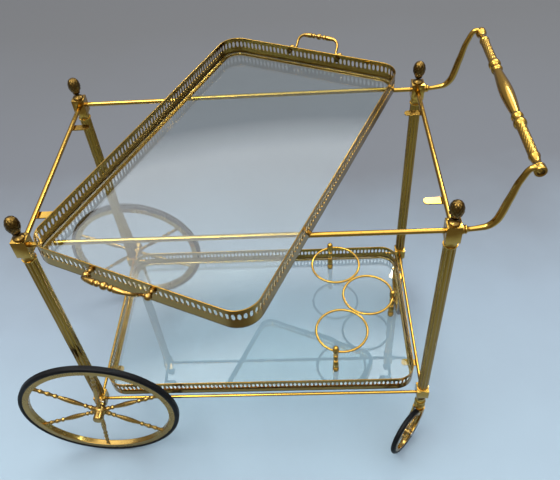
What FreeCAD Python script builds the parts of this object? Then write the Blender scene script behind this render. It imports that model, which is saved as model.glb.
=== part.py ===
import FreeCAD, Part
import math
import os
import Sketcher

# Two-tier brass bar cart with glass trays, as a parametric document.
#
# The cart stands on two big spoked wheels at its front end (-X) and two swivel casters at its rear
# end (+X), where the push handle is.  Left is -Y.  +Z is up, the floor is z = 0, and the origin is
# on the floor below the middle of the whole object.  Lengths are in millimetres, angles in degrees.
#
# The pieces are laid out about the middle of the leg rectangle.  `shift_x` and `shift_y` move that
# point so that the origin sits below the middle of the overall box.

Vector = FreeCAD.Vector
Rotation = FreeCAD.Rotation

SIZES = {
    # layout
    "half_length": 310,        # leg axes, along X
    "half_width": 180,         # leg axes, along Y
    "shift_x": 23,
    "shift_y": 7,
    # legs and their tie rods
    "leg_diameter": 20,
    "leg_bore": 15,
    "leg_bottom": 170.5,
    "leg_top": 559,
    "flute_radius": 1.5,
    "flute_count": 16,
    "tie_rod_diameter": 5,
    "tie_rod_bottom": 146,
    "tie_rod_top": 607.5,
    # corner blocks, tall ones at the top and short ones at the bottom
    "block_width": 22,
    "block_height": 31,
    "low_block_height": 22,
    "collar_diameter": 22.5,
    "collar_height": 2.5,
    "neck_diameter": 19,
    "neck_height": 10,
    "spigot_length": 8,
    # rails and the tray tabs under them
    "top_rail_height": 588,
    "top_rail_diameter": 8,
    "low_rail_height": 152.5,
    "low_rail_diameter": 6,
    "rail_socket": 6,
    "tab_length": 26,
    "tab_width": 14,
    "tab_thickness": 2,
    "tab_offset": 113,
    "tab_groove": 0.4,
    # finials
    "finial_height": 41,
    "finial_radius": 10.5,
    # push handle
    "arm_height": 589,
    "arm_diameter": 10,
    "arm_run": 19.5,
    "arm_low_radius": 30.7,
    "arm_rise": 76,
    "arm_top_radius": 11,
    "arm_rise_angle": 76.8,
    "arm_top_angle": 122,
    "arm_collar_radius": 7,
    "arm_stud_diameter": 7,
    "eye_radius": 8.5,
    "eye_thickness": 9,
    "bar_radius": 10.5,
    "bar_length": 351,
    "screw_diameter": 5,
    # big wheels
    "wheel_radius": 155,
    "wheel_x": -307,
    "wheel_plane": 208,
    "tyre_width": 7.2,
    "rim_outer": 143.5,
    "rim_inner": 132,
    "rim_width": 11,
    "hub_radius": 11,
    "sleeve_radius": 9.5,
    "axle_diameter": 8,
    "running_gap": 0.05,
    "spoke_radius": 6.2,
    "spoke_count": 6,
    "left_spoke_angle": 21.6,
    "right_spoke_angle": 33,
    # casters
    "caster_radius": 52,
    "caster_tyre_section": 5,
    "caster_rim_outer": 44.5,
    "caster_rim_inner": 38.5,
    "caster_rim_width": 9,
    "caster_trail": 37,
    "caster_hub_radius": 7,
    "caster_hub_width": 13,
    "caster_axle_diameter": 5,
    "caster_spoke_count": 5,
    "fork_stem_diameter": 8,
    "fork_crown_bottom": 91.5,
    "fork_crown_height": 6,
    "fork_arm_offset": 9.5,
    "fork_arm_thickness": 3.5,
    "fork_arm_width": 8,
    "left_caster_angle": 230,
    "right_caster_angle": 270,
    # trays
    "gallery_height": 35,
    "gallery_wall": 1.2,
    "upper_flange_width": 10,
    "lower_flange_width": 6,
    "corner_radius": 35,
    "upper_tray_length": 604,
    "upper_tray_width": 350,
    "lower_tray_length": 596,
    "lower_tray_width": 343,
    "glass_thickness": 4,
    "glass_gap": 1,
    "rest_gap": 0.3,
    "upper_tray_angle": 66,
    "upper_tray_x": -3,
    "upper_tray_y": -7,
    # tray handles
    "handle_screw_height": 25.5,
    "handle_half_span": 48.5,
    "handle_bail_half": 40,
    "handle_reach": 28,
    "handle_corner": 14,
    "handle_elbow": 5,
    "handle_stand_off": 12,
    "handle_radius": 2.6,
    "handle_tilt": 48,
    "front_handle_offset": 12,
    "rear_handle_offset": 5.5,
    # bottle holder on the lower tray
    "ring_radius": 50,
    "ring_wire": 2.5,
    "ring_height": 217,
    "post_radius": 6.5,
    "post_height": 76,
}

doc = FreeCAD.newDocument("bar_cart")
sheet = doc.addObject("Spreadsheet::Sheet", "Sizes")
for row, (alias, number) in enumerate(SIZES.items(), start=1):
    sheet.set(f"A{row}", alias)
    sheet.set(f"B{row}", str(number))
    sheet.setAlias(f"B{row}", alias)
doc.recompute()

nodes = {}


class Dim:
    """A length worked out from the sheet: its value and the expression that gives it."""

    def __init__(self, value, text):
        self.value = float(value)
        self.text = text

    def __add__(self, other):
        other = dim(other)
        return Dim(self.value + other.value, f"({self.text} + {other.text})")

    def __sub__(self, other):
        other = dim(other)
        return Dim(self.value - other.value, f"({self.text} - {other.text})")

    def __rsub__(self, other):
        return dim(other) - self

    def __mul__(self, factor):
        return Dim(self.value * factor, f"({self.text} * {factor})")

    def __truediv__(self, divisor):
        return Dim(self.value / divisor, f"({self.text} / {divisor})")

    def __neg__(self):
        return self * -1

    __radd__ = __add__
    __rmul__ = __mul__


def dim(value):
    if isinstance(value, Dim):
        return value
    return Dim(value, f"({float(value)})")


def cell(alias):
    return Dim(SIZES[alias], f"Sizes.{alias}")


# ---------------------------------------------------------------- helpers: placing and binding

AXIS_TURN = {
    "Z": Rotation(),
    "-Z": Rotation(Vector(1, 0, 0), 180),
    "X": Rotation(Vector(0, 1, 0), 90),
    "-X": Rotation(Vector(0, 1, 0), -90),
    "Y": Rotation(Vector(1, 0, 0), -90),
    "-Y": Rotation(Vector(1, 0, 0), 90),
}


def bind(thing, **lengths):
    """Set the object's sizes by expressions on the sheet."""
    for name, length in lengths.items():
        thing.setExpression(name, dim(length).text)


def place(thing, x=0, y=0, z=0, turn=None):
    """Turn the object, then bind its position to the sheet."""
    turn = turn or Rotation()
    thing.Placement = FreeCAD.Placement(Vector(), turn)
    for letter, length in zip("xyz", (x, y, z)):
        thing.setExpression(f"Placement.Base.{letter}", dim(length).text)
    return thing


def in_cart(thing, x=0, y=0, z=0, turn=None):
    """Place an object by its position from the middle of the leg rectangle."""
    return place(thing, cell("shift_x") + x, cell("shift_y") + y, z, turn)


def node(name, thing):
    """Name a finished sub-part: its label is its file and its node."""
    thing.Label = name
    nodes[name] = thing
    return thing


# ---------------------------------------------------------------- helpers: Part solids


def box(name, length, width, height, x=0, y=0, z=0):
    """A box centred on x and y, standing on z."""
    thing = doc.addObject("Part::Box", name)
    bind(thing, Length=length, Width=width, Height=height)
    return place(thing, dim(x) - dim(length) / 2, dim(y) - dim(width) / 2, z)


def cylinder(name, radius, height, x=0, y=0, z=0, axis="Z"):
    thing = doc.addObject("Part::Cylinder", name)
    bind(thing, Radius=radius, Height=height)
    return place(thing, x, y, z, AXIS_TURN[axis])


def ring(name, radius, wire, x=0, y=0, z=0):
    thing = doc.addObject("Part::Torus", name)
    bind(thing, Radius1=radius, Radius2=wire)
    return place(thing, x, y, z)


def fuse(name, *things):
    thing = doc.addObject("Part::MultiFuse", name)
    thing.Shapes = list(things)
    return thing


def cut(name, base, *tools):
    tool = tools[0] if len(tools) == 1 else fuse(name + "_tools", *tools)
    thing = doc.addObject("Part::Cut", name)
    thing.Base = base
    thing.Tool = tool
    return thing


def group(name, *things):
    """Carry several pieces together, each still its own solid."""
    thing = doc.addObject("Part::Compound", name)
    thing.Links = list(things)
    return thing


# ---------------------------------------------------------------- helpers: PartDesign bodies


def origin_feature(body, role):
    return [feature for feature in body.Origin.OriginFeatures if feature.Role == role][0]


def new_sketch(body, name, plane):
    sketch = body.newObject("Sketcher::SketchObject", name)
    sketch.AttachmentSupport = [(origin_feature(body, plane), "")]
    sketch.MapMode = "FlatFace"
    return sketch


def draw_outline(sketch, points):
    """Draw a closed outline and bind its corners to the sheet.

    Each point is (x, y) or (x, y, bulge).  A bulge bows the edge that leaves the point by that
    many millimetres, to the right of its direction when positive.  A sketch keeps its arcs
    anticlockwise, so an edge that bows to the left is drawn from its far end.
    """
    corners = [(dim(point[0]), dim(point[1])) for point in points]
    count = len(points)
    starts = []
    for index, point in enumerate(points):
        first = Vector(corners[index][0].value, corners[index][1].value, 0)
        following = corners[(index + 1) % count]
        last = Vector(following[0].value, following[1].value, 0)
        if len(point) == 3:
            along = last - first
            side = Vector(along.y, -along.x, 0).normalize()
            middle = (first + last) * 0.5 + side * point[2]
            ends = (first, last) if point[2] > 0 else (last, first)
            edge = Part.Arc(ends[0], middle, ends[1])
        else:
            edge = Part.LineSegment(first, last)
        number = sketch.addGeometry(edge, False)
        forward = sketch.Geometry[number].StartPoint.distanceToPoint(first) < 1e-6
        starts.append((1, 2) if forward else (2, 1))
    for index in range(count):
        following = (index + 1) % count
        sketch.addConstraint(Sketcher.Constraint(
            "Coincident", index, starts[index][1], following, starts[following][0]))
    for index, corner in enumerate(corners):
        for kind, length in zip(("DistanceX", "DistanceY"), corner):
            number = sketch.addConstraint(Sketcher.Constraint(
                kind, index, starts[index][0], length.value))
            sketch.setExpression(f"Constraints[{number}]", length.text)
    for index, point in enumerate(points):
        if len(point) == 3:
            bow = abs(point[2])
            here, there = corners[index], corners[(index + 1) % count]
            across, up = there[0] - here[0], there[1] - here[1]
            radius = ((across.value ** 2 + up.value ** 2) / 4 + bow ** 2) / (2 * bow)
            number = sketch.addConstraint(Sketcher.Constraint("Radius", index, radius))
            sketch.setExpression(f"Constraints[{number}]",
                                 f"(({across.text}^2 + {up.text}^2) / 4 + {bow}^2) / {2 * bow}")


def draw_circle(sketch, radius, x=0, y=0):
    """Draw a circle whose centre and radius are bound to the sheet."""
    radius, x, y = dim(radius), dim(x), dim(y)
    circle = Part.Circle(Vector(x.value, y.value, 0), Vector(0, 0, 1), radius.value)
    edge = sketch.addGeometry(circle, False)
    for kind, length in (("DistanceX", x), ("DistanceY", y)):
        number = sketch.addConstraint(Sketcher.Constraint(kind, edge, 3, length.value))
        sketch.setExpression(f"Constraints[{number}]", length.text)
    number = sketch.addConstraint(Sketcher.Constraint("Radius", edge, radius.value))
    sketch.setExpression(f"Constraints[{number}]", radius.text)


def rounded_rectangle(sketch, length, width, radius):
    """Draw a centred rectangle with round corners, as one outline."""
    half_x, half_y, radius = dim(length) / 2, dim(width) / 2, dim(radius)
    bow = radius.value * (1 - math.cos(math.radians(45)))
    draw_outline(sketch, [
        (radius - half_x, -half_y),
        (half_x - radius, -half_y, bow),
        (half_x, radius - half_y),
        (half_x, half_y - radius, bow),
        (half_x - radius, half_y),
        (radius - half_x, half_y, bow),
        (-half_x, half_y - radius),
        (-half_x, radius - half_y, bow),
    ])


def new_body(name):
    return doc.addObject("PartDesign::Body", name)


def pad(body, sketch, height, name="Pad"):
    feature = body.newObject("PartDesign::Pad", f"{body.Name}_{name}")
    feature.Profile = sketch
    bind(feature, Length=height)
    return feature


def pocket(body, sketch, depth, reverse, name="Pocket"):
    """Cut a pocket, and check that it took material away."""
    doc.recompute()
    before = body.Shape.Volume
    feature = body.newObject("PartDesign::Pocket", f"{body.Name}_{name}")
    feature.Profile = sketch
    feature.Reversed = reverse
    bind(feature, Length=depth)
    doc.recompute()
    if body.Shape.Volume >= before - 1e-6:
        raise RuntimeError(f"{body.Name}: {name} cuts nothing")
    return feature


def polar(body, feature, count, axis):
    """Repeat a feature about one of the body's own axes."""
    pattern = body.newObject("PartDesign::PolarPattern", f"{body.Name}_Pattern")
    pattern.Originals = [feature]
    pattern.Axis = (origin_feature(body, axis), [""])
    pattern.Angle = 360
    pattern.setExpression("Occurrences", count.text)
    body.Tip = pattern
    return pattern


def turned(name, profile):
    """Revolve an outline of (radius, height) points about Z."""
    body = new_body(name)
    sketch = new_sketch(body, name + "_outline", "XZ_Plane")
    draw_outline(sketch, profile)
    feature = body.newObject("PartDesign::Revolution", name + "_turn")
    feature.Profile = sketch
    feature.ReferenceAxis = (sketch, ["V_Axis"])
    feature.Angle = 360
    return body


def swept(name, path, section_radius):
    """Sweep a round section along a path of edges in XZ that leaves the origin along +X."""
    body = new_body(name)
    spine = new_sketch(body, name + "_path", "XZ_Plane")
    for edge in path:
        spine.addGeometry(edge, False)
    section = new_sketch(body, name + "_section", "YZ_Plane")
    draw_circle(section, section_radius)
    doc.recompute()
    feature = body.newObject("PartDesign::AdditivePipe", name + "_pipe")
    feature.Profile = section
    feature.Spine = (spine, [f"Edge{number + 1}" for number in range(len(path))])
    return body


def path_of(runs):
    """Edges of a path in a plane from the origin along +X.

    Each run is ("line", length) or ("arc", radius, angle): a positive angle turns left.
    """
    edges = []
    point, heading = Vector(), 0.0
    for run in runs:
        if run[0] == "line":
            step = Vector(math.cos(heading), math.sin(heading), 0) * run[1]
            edges.append(Part.LineSegment(point, point + step))
            point = point + step
        else:
            side = 1 if run[2] > 0 else -1
            turn = math.radians(run[2])
            to_centre = Vector(-math.sin(heading), math.cos(heading), 0) * (run[1] * side)
            centre = point + to_centre
            spin = Rotation(Vector(0, 0, 1), math.degrees(turn / 2))
            middle = centre - spin.multVec(to_centre)
            end = centre - spin.multVec(spin.multVec(to_centre))
            ends = (point, end) if side > 0 else (end, point)
            edges.append(Part.Arc(ends[0], middle, ends[1]))
            point, heading = end, heading + turn
    return edges, point


# ---------------------------------------------------------------- frame

CORNERS = {
    "front_left": (-1, -1),
    "front_right": (-1, 1),
    "rear_left": (1, -1),
    "rear_right": (1, 1),
}
SIDES = {"left": -1, "right": 1}
ENDS = {"front": -1, "rear": 1}

half_length = cell("half_length")
half_width = cell("half_width")
block_half = cell("block_width") / 2


def build_leg(name):
    """A fluted tube."""
    body = new_body(name + "_tube")
    outline = new_sketch(body, name + "_outline", "XY_Plane")
    draw_circle(outline, cell("leg_diameter") / 2)
    draw_circle(outline, cell("leg_bore") / 2)
    pad(body, outline, cell("leg_top") - cell("leg_bottom"))
    flute = new_sketch(body, name + "_flute", "XY_Plane")
    draw_circle(flute, cell("flute_radius"), cell("leg_diameter") / 2 + cell("flute_radius") * 0.35)
    groove = pocket(body, flute, cell("leg_top") - cell("leg_bottom"), True)
    polar(body, groove, cell("flute_count"), "Z_Axis")
    return body


def build_rails():
    """Eight round rods between the corner blocks, a ring of four at each level."""
    inset = block_half - cell("rail_socket")
    for level in ("top", "low"):
        label = {"top": "top_rail", "low": "bottom_rail"}[level]
        radius = cell(level + "_rail_diameter") / 2
        height = cell(level + "_rail_height")
        for side, sign in SIDES.items():
            rail = cylinder(f"{label}_{side}", radius, (half_length - inset) * 2)
            in_cart(rail, inset - half_length, half_width * sign, height, AXIS_TURN["X"])
            node(f"{label}_{side}", rail)
        for end, sign in ENDS.items():
            rail = cylinder(f"{label}_{end}", radius, (half_width - inset) * 2)
            in_cart(rail, half_length * sign, inset - half_width, height, AXIS_TURN["Y"])
            node(f"{label}_{end}", rail)


def build_tabs():
    """Flat tabs under the end rails, that carry a tray at home between the rails."""
    for level, label in (("top", "top_rail"), ("low", "bottom_rail")):
        tabs = []
        radius = cell(level + "_rail_diameter") / 2
        top = cell(level + "_rail_height") - radius + cell("tab_groove")
        for end, sign in ENDS.items():
            for side, across in SIDES.items():
                stem = f"{label}_{end}_{side}_tab"
                plate = box(stem + "_plate", cell("tab_length"), cell("tab_width"),
                            cell("tab_thickness"))
                nose = cylinder(stem + "_nose", cell("tab_width") / 2, cell("tab_thickness"),
                                cell("tab_length") * (-0.5 * sign))
                blank = fuse(stem + "_blank", plate, nose)
                reach = half_length - cell("tab_length") / 2 + cell("tab_thickness")
                in_cart(blank, reach * sign, cell("tab_offset") * across,
                        top - cell("tab_thickness"))
                tabs.append(cut(stem, blank, nodes[f"{label}_{end}"]))
        node(label + "_tabs", group(label + "_tabs", *tabs))


def build_tie_rods():
    """Long rods that run down the hollow legs and clamp each leg between its blocks."""
    rods = []
    for corner, (along, across) in CORNERS.items():
        rod = cylinder(f"tie_rod_{corner}", cell("tie_rod_diameter") / 2,
                       cell("tie_rod_top") - cell("tie_rod_bottom"))
        in_cart(rod, half_length * along, half_width * across, cell("tie_rod_bottom"))
        rods.append(rod)
    node("leg_tie_rods", group("leg_tie_rods", *rods))
    return dict(zip(CORNERS, rods))


def build_blocks(tie_rods):
    """Square corner blocks with a round collar and a spigot that plugs the leg."""
    width, height = cell("block_width"), cell("block_height")
    low_height = cell("low_block_height")
    collar, neck = cell("collar_height"), cell("neck_height")
    for corner, (along, across) in CORNERS.items():
        side = "left" if across < 0 else "right"
        end = "front" if along < 0 else "rear"
        x, y = half_length * along, half_width * across

        stem = f"top_block_{corner}"
        cube = box(stem + "_cube", width, width, height, z=collar + neck)
        throat = cylinder(stem + "_neck", cell("neck_diameter") / 2, neck, z=collar)
        flange = cylinder(stem + "_collar", cell("collar_diameter") / 2, collar)
        spigot = cylinder(stem + "_spigot", cell("leg_bore") / 2, cell("spigot_length"),
                          z=-cell("spigot_length"))
        blank = in_cart(fuse(stem + "_blank", cube, throat, flange, spigot),
                        x, y, cell("leg_top"))
        tools = [nodes[f"top_rail_{side}"], nodes[f"top_rail_{end}"], tie_rods[corner]]
        if end == "rear":
            tools.append(nodes[f"push_handle_arm_{side}"])
        node(stem, cut(stem, blank, *tools))

        stem = f"bottom_block_{corner}"
        cube = box(stem + "_cube", width, width, low_height)
        flange = cylinder(stem + "_collar", cell("collar_diameter") / 2, collar, z=low_height)
        spigot = cylinder(stem + "_spigot", cell("leg_bore") / 2, cell("spigot_length"),
                          z=low_height + collar)
        blank = in_cart(fuse(stem + "_blank", cube, flange, spigot),
                        x, y, cell("leg_bottom") - low_height - collar)
        tools = [nodes[f"bottom_rail_{side}"], nodes[f"bottom_rail_{end}"], tie_rods[corner]]
        tools.append(axle_bolts[side] if end == "front" else caster_sockets[side])
        node(stem, cut(stem, blank, *tools))


def build_finials(tie_rods):
    """Cone-shaped nuts on the ends of the tie rods."""
    radius, height = cell("finial_radius"), cell("finial_height")
    cones = []
    for corner, (along, across) in CORNERS.items():
        cone = turned(f"finial_{corner}_cone", [
            (0, 0),
            (radius * 0.85, 0),
            (radius * 0.85, height * 0.06),
            (radius * 0.6, height * 0.11, -0.6),
            (radius * 0.36, height * 0.2),
            (radius * 0.36, height * 0.25, -0.5),
            (radius * 0.62, height * 0.3, 1.2),
            (radius, height * 0.56),
            (radius * 0.95, height * 0.68),
            (radius * 0.77, height * 0.8),
            (radius * 0.5, height * 0.91),
            (radius * 0.2, height * 0.98),
            (0, height),
        ])
        in_cart(cone, half_length * along, half_width * across,
                cell("leg_top") + cell("collar_height") + cell("neck_height") + cell("block_height"))
        cones.append(cut(f"finial_{corner}", cone, tie_rods[corner]))
    node("finial_nuts", group("finial_nuts", *cones))


# ---------------------------------------------------------------- push handle


def arm_runs():
    """The arm's centreline: out from the block, up, and over to the eye."""
    return path_of([
        ("line", SIZES["arm_run"]),
        ("arc", SIZES["arm_low_radius"], SIZES["arm_rise_angle"]),
        ("line", SIZES["arm_rise"]),
        ("arc", SIZES["arm_top_radius"], -SIZES["arm_top_angle"]),
    ])


def build_push_handle():
    """Two swept arms with eyes, a turned bar between them, and a screw through each eye."""
    edges, tip = arm_runs()
    eye_x, eye_z = tip.x, tip.y
    thickness = cell("eye_thickness")
    arm_x = half_length + block_half
    screws = {}
    for side, sign in SIDES.items():
        screw = cylinder(f"handle_screw_{side}_shank", cell("screw_diameter") / 2, 24)
        head = cylinder(f"handle_screw_{side}_head", 5, 3, z=-3)
        screws[side] = in_cart(fuse(f"handle_screw_{side}", screw, head), arm_x + eye_x,
                               (half_width + thickness / 2) * sign - dim(4 * sign),
                               cell("arm_height") + eye_z, AXIS_TURN["Y" if sign < 0 else "-Y"])
    for side, sign in SIDES.items():
        stem = f"push_handle_arm_{side}"
        sweep = swept(stem + "_sweep", edges, cell("arm_diameter") / 2)
        collar = cylinder(stem + "_collar", cell("arm_collar_radius"), 7, axis="X")
        stud = cylinder(stem + "_stud", cell("arm_stud_diameter") / 2, 6, x=-5, axis="X")
        eye = cylinder(stem + "_eye", cell("eye_radius"), thickness,
                       eye_x, -thickness / 2, eye_z, axis="Y")
        blank = in_cart(fuse(stem + "_blank", sweep, collar, stud, eye),
                        arm_x, half_width * sign, cell("arm_height"))
        recess = cylinder(stem + "_recess", 5, 4)
        in_cart(recess, arm_x + eye_x, (half_width + thickness / 2) * sign,
                cell("arm_height") + eye_z, AXIS_TURN["Y" if sign < 0 else "-Y"])
        node(stem, cut(stem, blank, recess, screws[side]))

    radius, length = cell("bar_radius"), cell("bar_length")
    half = [
        (radius * 0.76, 0.0),
        (radius * 0.76, 0.006, -0.4),
        (radius * 0.5, 0.024),
        (radius * 0.72, 0.06),
        (radius * 0.72, 0.072),
        (radius * 0.66, 0.073),
        (radius * 0.66, 0.262),
        (radius * 0.7, 0.264, 1.9),
        (radius * 0.7, 0.292),
        (radius * 0.6, 0.302),
        (radius * 0.68, 0.312, 1.1),
        (radius * 0.68, 0.33),
        (radius * 0.62, 0.336, 1.0),
    ]
    outline = [(0, 0)]
    outline += [(point[0], length * point[1]) + point[2:] for point in half]
    outline.append((radius, length * 0.5, 1.0))
    # the far half mirrors the near half, so each bow belongs to the edge before its point
    for index in range(len(half) - 1, -1, -1):
        point = half[index]
        bow = half[index - 1][2:] if index else ()
        outline.append((point[0], length * (1 - point[1])) + bow)
    outline.append((0, length))
    bar = turned("push_handle_bar_turning", outline)
    in_cart(bar, arm_x + eye_x, -length / 2, cell("arm_height") + eye_z, AXIS_TURN["Y"])
    node("push_handle_bar", cut("push_handle_bar", bar, screws["left"], screws["right"]))
    node("push_handle_screws", group("push_handle_screws", *screws.values()))


# ---------------------------------------------------------------- big wheels


def build_axle_bolts():
    """A shouldered bolt in each front bottom block, and the nut that keeps the wheel on it."""
    bolts, caps = {}, {}
    radius = cell("axle_diameter") / 2
    face = half_width + block_half
    stand_off = cell("wheel_plane") - face
    for side, sign in SIDES.items():
        thread = cylinder(f"axle_{side}_thread", radius, cell("rail_socket"),
                          z=-cell("rail_socket") - stand_off)
        shoulder = cylinder(f"axle_{side}_shoulder", cell("sleeve_radius"), 4, z=-stand_off)
        shaft = cylinder(f"axle_{side}_shaft", radius, stand_off + 15, z=-stand_off)
        bolt = fuse(f"axle_bolt_{side}", thread, shoulder, shaft)
        turn = AXIS_TURN["-Y" if sign < 0 else "Y"]
        in_cart(bolt, cell("wheel_x"), cell("wheel_plane") * sign, cell("wheel_radius"), turn)
        bolts[side] = bolt
        cap = turned(f"hub_cap_{side}_dome", [
            (0, 11.8),
            (cell("sleeve_radius"), 11.8),
            (cell("sleeve_radius"), 20, 0.6),
            (6.5, 22.5),
            (0, 22.5),
        ])
        in_cart(cap, cell("wheel_x"), cell("wheel_plane") * sign, cell("wheel_radius"), turn)
        caps[side] = cut(f"hub_cap_{side}", cap, bolt)
    node("axle_bolts", group("axle_bolts", *bolts.values()))
    node("hub_cap_nuts", group("hub_cap_nuts", *caps.values()))
    return bolts


def turned_spokes(stem, count, outline, angle):
    """Radial spokes: one turned bar along X, and links to it at equal steps about Z."""
    body = new_body(stem + "_master")
    sketch = new_sketch(body, stem + "_outline", "XZ_Plane")
    draw_outline(sketch, outline)
    feature = body.newObject("PartDesign::Revolution", stem + "_turn")
    feature.Profile = sketch
    feature.ReferenceAxis = (sketch, ["H_Axis"])
    feature.Angle = 360
    spokes = []
    for number in range(count):
        spoke = doc.addObject("App::Link", f"{stem}_{number}")
        spoke.LinkedObject = body
        spoke.Placement = FreeCAD.Placement(
            Vector(), Rotation(Vector(0, 0, 1), angle + 360 * number / count))
        spokes.append(spoke)
    return group(stem, *spokes)


def spoke_sockets(stem, count, radius, reach, angle):
    """Plain cylinders that stand for the spoke tenons in the hub and in the rim."""
    sockets = []
    for number in range(count):
        socket = cylinder(f"{stem}_{number}", radius, reach)
        socket.Placement = FreeCAD.Placement(
            Vector(), Rotation(Vector(0, 0, 1), angle + 360 * number / count).multiply(AXIS_TURN["X"]))
        sockets.append(socket)
    return fuse(stem, *sockets)


def spoke_outline(start, end, thick):
    """Half outline of a turned spoke from (start, 0) to (end, 0), with tenons at both ends."""
    span = end - start
    beads = [
        (0.0, 0.5), (0.03, 0.5),
        (0.03, 0.65), (0.07, 0.65, -0.7), (0.1, 0.65),
        (0.13, 0.5), (0.155, 0.6, -0.6), (0.18, 0.6),
        (0.2, 0.45, -1.9), (0.6, 0.45),
        (0.62, 0.62, -0.5), (0.65, 0.62), (0.67, 0.45),
        (0.72, 0.55, -0.9), (0.78, 0.55), (0.8, 0.45),
        (0.84, 0.55, -0.7), (0.88, 0.55), (0.9, 0.48),
        (0.965, 0.6), (0.965, 0.5), (1.0, 0.5),
    ]
    outline = [(start, 0)]
    for bead in beads:
        outline.append((start + span * bead[0], thick * bead[1]) + bead[2:])
    outline.append((end, 0))
    return outline


def build_big_wheel(side, sign):
    """Rubber tyre, grooved brass rim, turned spokes and a ball hub on a sleeve."""
    turn = AXIS_TURN["-Y" if sign < 0 else "Y"]
    where = (cell("wheel_x"), cell("wheel_plane") * sign, cell("wheel_radius"))
    tread = cell("tyre_width") / 2
    rim_half = cell("rim_width") / 2
    outer, inner = cell("rim_outer"), cell("rim_inner")

    tyre = turned(f"wheel_{side}_tyre", [
        (outer - 1.5, dim(0) - tread),
        (cell("wheel_radius") - 3.4, dim(0) - tread),
        (cell("wheel_radius") - 3.4, tread, 3.4),
        (outer - 1.5, tread),
    ])
    node(f"wheel_{side}_tyre", in_cart(tyre, *where, turn))

    rim = turned(f"wheel_{side}_rim_turning", [
        (inner + 1, -rim_half),
        (outer, -rim_half),
        (outer, rim_half),
        (inner + 1, rim_half),
        (inner, rim_half - 1.5),
        (inner, dim(1.5) - rim_half),
    ])
    in_cart(rim, *where, turn)

    angle = SIZES[f"{side}_spoke_angle"] * -sign
    spokes = turned_spokes(f"wheel_{side}_spokes", SIZES["spoke_count"],
                           spoke_outline(dim(8), inner + 4, cell("spoke_radius")), angle)
    in_cart(spokes, *where, turn)
    sockets = []
    for place_name, inner_end in (("hub", 8), ("rim", 128)):
        tool = spoke_sockets(f"wheel_{side}_{place_name}_sockets", SIZES["spoke_count"],
                             cell("spoke_radius") / 2, inner + 4, angle)
        core = cylinder(f"wheel_{side}_{place_name}_core", inner_end, 20, z=-10)
        sockets.append(in_cart(cut(f"wheel_{side}_{place_name}_tool", tool, core), *where, turn))

    sleeve = cell("sleeve_radius")
    bore = cell("axle_diameter") / 2 + cell("running_gap")
    hub = turned(f"wheel_{side}_hub_turning", [
        (bore, -12.7),
        (sleeve * 0.9, -12.7),
        (sleeve * 0.9, -8.5, 3.6),
        (sleeve, 7.5),
        (sleeve, 11.3),
        (bore, 11.3),
    ])
    in_cart(hub, *where, turn)

    node(f"wheel_{side}_spokes", spokes)
    node(f"wheel_{side}_rim", cut(f"wheel_{side}_rim", rim, tyre, sockets[1]))
    node(f"wheel_{side}_hub", cut(f"wheel_{side}_hub", hub, sockets[0]))


# ---------------------------------------------------------------- casters


def build_caster_sockets():
    """Ribbed balls under the rear blocks, bored for the fork stems."""
    sockets = {}
    bore = cell("fork_stem_diameter") / 2 + cell("running_gap")
    for side, sign in SIDES.items():
        socket = turned(f"caster_socket_{side}", [
            (bore, 98),
            (6, 98),
            (6.5, 101),
            (8, 104, 1.5),
            (10, 110),
            (9, 112),
            (10, 114),
            (9, 116),
            (10, 118, 1.5),
            (8, 126),
            (7, 129),
            (9.5, 133),
            (9.5, 138),
            (4, 138),
            (4, 145),
            (0, 145),
            (0, 129),
            (bore, 129),
        ])
        sockets[side] = in_cart(socket, half_length, half_width * sign)
    node("caster_sockets", group("caster_sockets", *sockets.values()))
    return sockets


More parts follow.
